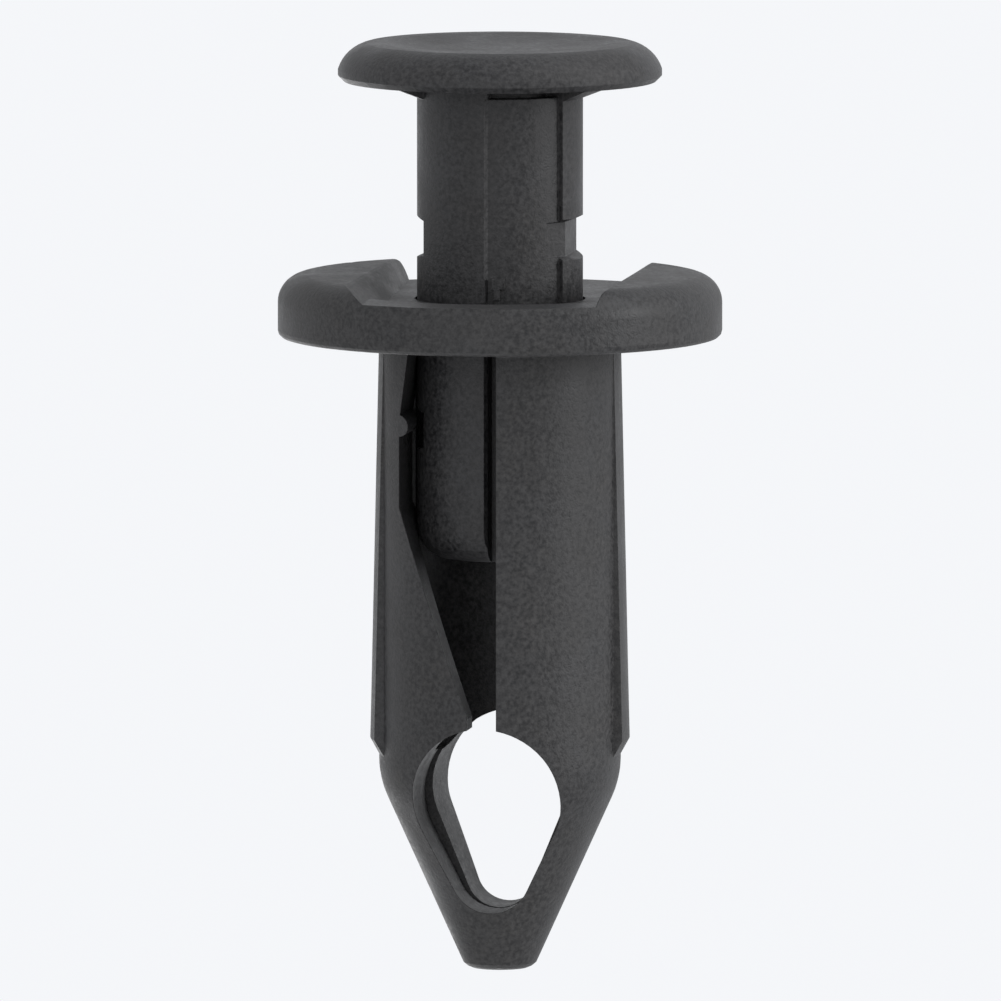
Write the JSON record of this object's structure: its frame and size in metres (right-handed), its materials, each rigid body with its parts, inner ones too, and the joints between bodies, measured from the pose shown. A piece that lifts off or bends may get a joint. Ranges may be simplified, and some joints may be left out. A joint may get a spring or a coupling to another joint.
{
  "type": "plastic push rivet",
  "caption": "Two-piece push rivet: split-leg retainer with a round lipped flange and an open conical tip, and a headed push pin that slides down its bore to lock it.",
  "frame": {"origin": "middle of the push pin's head face, on the surface that the rivet stands on", "axes": "+Z along the rivet's axis from the pin's head to the tip, X across the slit from leg to leg, -Y the side that faces the picture's camera"},
  "size_m": [0.018, 0.018, 0.0377],
  "materials": {
    "pin_plastic": "fine moulded grain",
    "body_plastic": "fine moulded grain"
  },
  "bodies": {
    "retainer": {"retainer_body": "body_plastic"},
    "pin": {"push_pin": "pin_plastic"}
  },
  "joints": [
    {"name": "push", "type": "slide", "parent": "retainer", "child": "pin", "axis": [0, 0, 1], "range_m": [0, 0.00781]}
  ]
}
